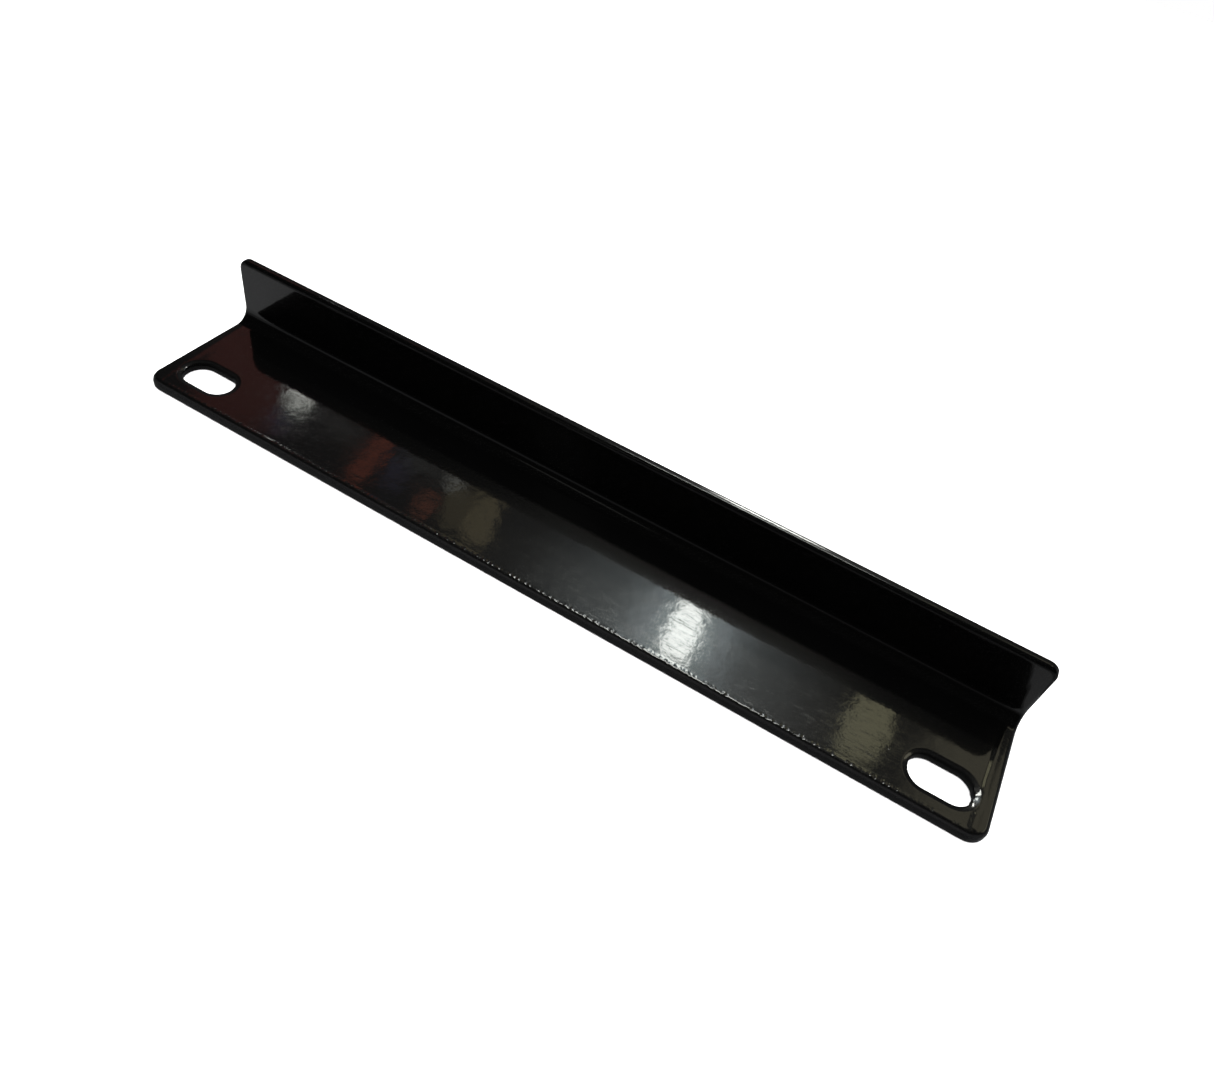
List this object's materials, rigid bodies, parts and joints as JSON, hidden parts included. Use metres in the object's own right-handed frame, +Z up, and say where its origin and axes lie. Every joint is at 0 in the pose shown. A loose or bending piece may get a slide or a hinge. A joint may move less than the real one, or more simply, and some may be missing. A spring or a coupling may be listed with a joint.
{
  "type": "kick plate",
  "caption": "Folded steel angle kick plate with a wide slotted base leg, a short upstand and rounded free corners, finished in thick gloss black.",
  "frame": {"origin": "middle of the plate's length and overall depth, on the underside of the base leg", "axes": "+X along the fold, +Y from the base leg's free edge towards the upstand, +Z up out of the base leg, the way the upstand points"},
  "size_m": [0.3, 0.05, 0.028],
  "materials": {
    "gloss_black_coating": "thick high-gloss black coating over mild steel sheet, with a slight orange peel and fat rounded edges"
  },
  "bodies": {
    "root": {"kick_plate": "gloss_black_coating"}
  },
  "joints": []
}
